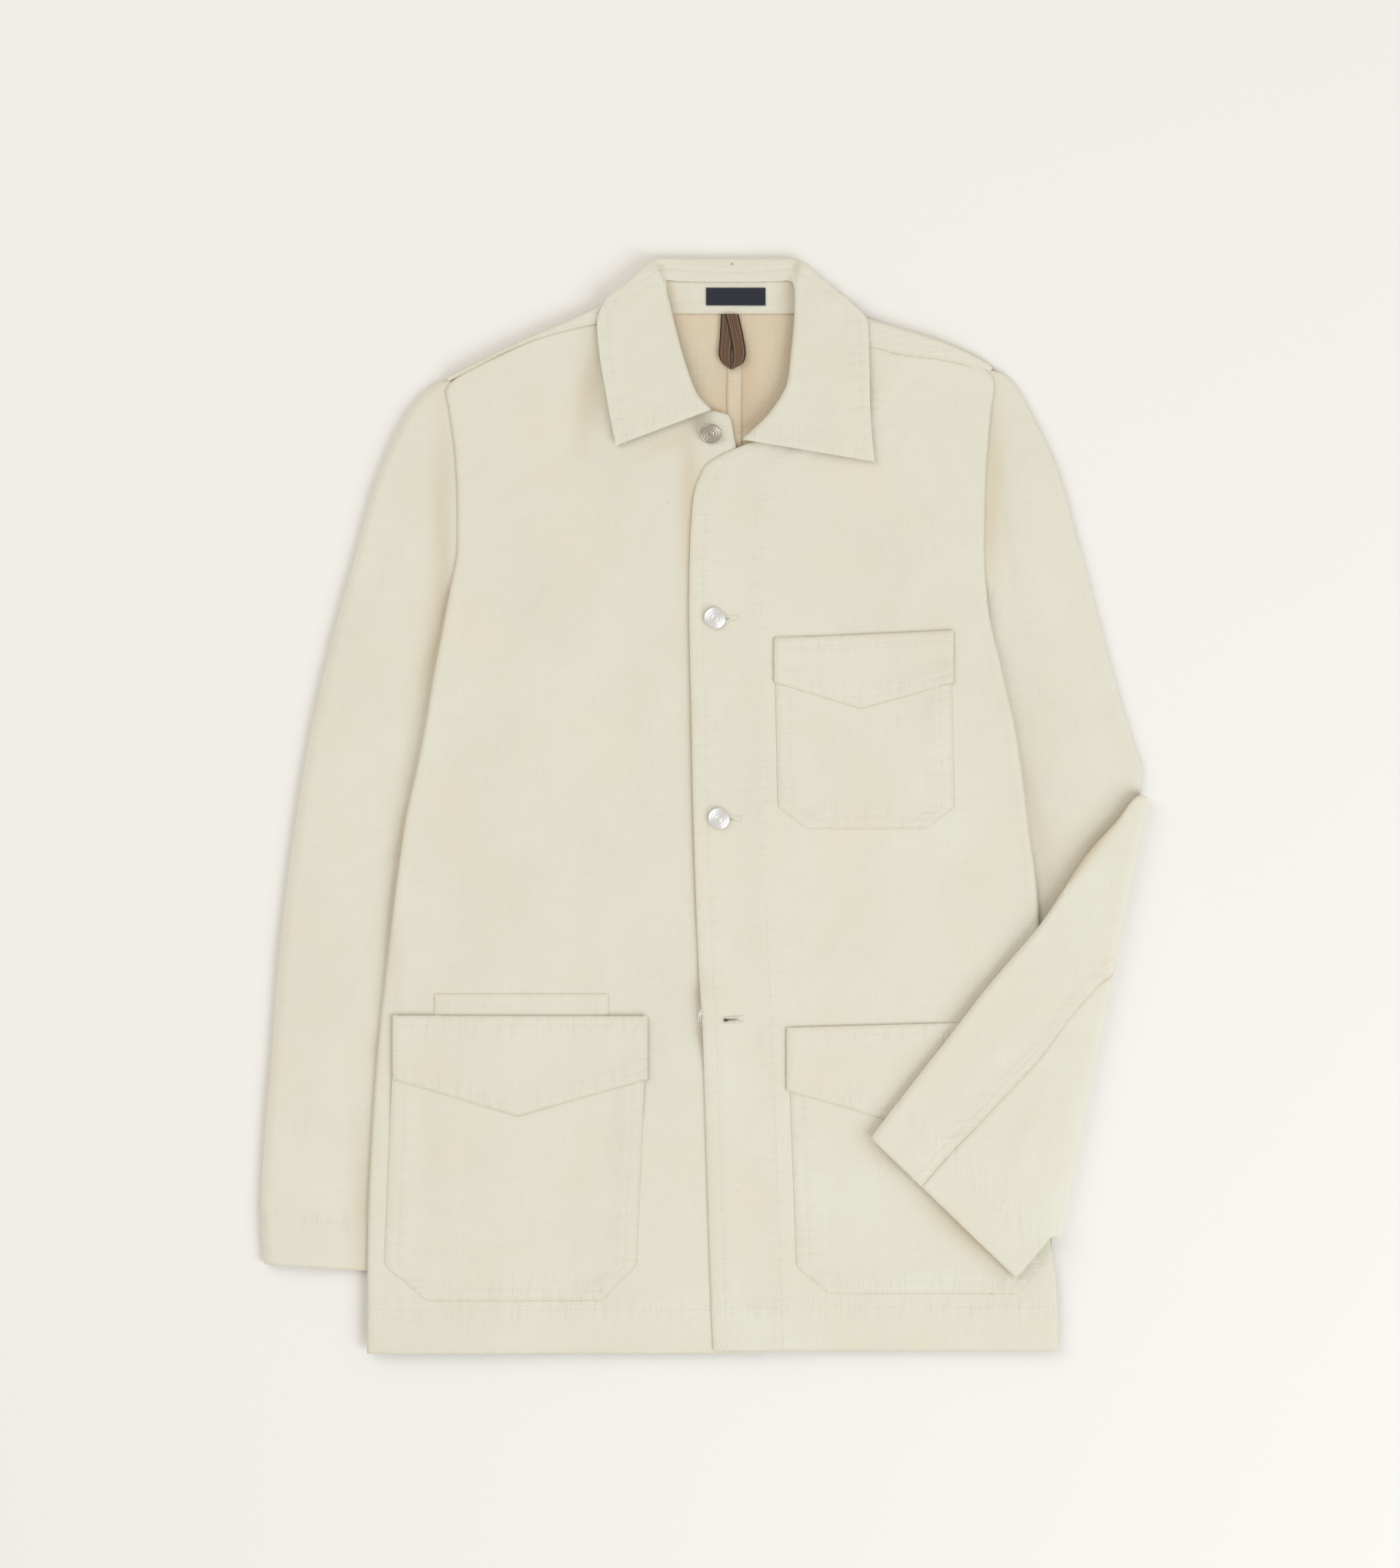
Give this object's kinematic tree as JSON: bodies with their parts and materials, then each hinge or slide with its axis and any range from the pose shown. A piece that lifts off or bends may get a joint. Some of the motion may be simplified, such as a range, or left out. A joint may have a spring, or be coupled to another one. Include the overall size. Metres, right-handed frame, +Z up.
{
  "type": "chore jacket",
  "caption": "Canvas chore jacket lying flat on its back, collar turned down, chest and hip patch pockets with pointed facings, one sleeve straight and one folded over the front",
  "frame": {"origin": "middle of the underside's bounding box, on the surface that the jacket lies on", "axes": "+X to the viewer's right (the wearer's left side), +Y towards the collar, +Z up from the surface through the back to the front"},
  "size_m": [0.6556, 0.8098, 0.0173],
  "materials": {
    "canvas": "undyed heavy cotton canvas, matt",
    "canvas_inside": "inside of the canvas in warmer light, matt",
    "ribbon": "striped brown grosgrain",
    "label": "plain navy woven label",
    "button": "satin silver tack button"
  },
  "bodies": {
    "root": {"back_left": "canvas_inside", "back_right": "canvas_inside", "back_seam_strip": "canvas_inside", "front_right": "canvas", "front_left": "canvas", "sleeve_right_top": "canvas", "sleeve_right_under": "canvas", "sleeve_left_top": "canvas", "sleeve_left_under": "canvas", "collar_stand": "canvas", "collar_fall": "canvas", "pocket_chest": "canvas", "pocket_chest_facing": "canvas", "pocket_tool_right": "canvas", "pocket_hip_right": "canvas", "pocket_hip_right_facing": "canvas", "pocket_hip_left": "canvas", "pocket_hip_left_facing": "canvas", "hanger_loop": "ribbon", "label": "label", "button_1": "button", "button_2": "button", "button_3": "button", "button_4": "button"}
  },
  "joints": []
}
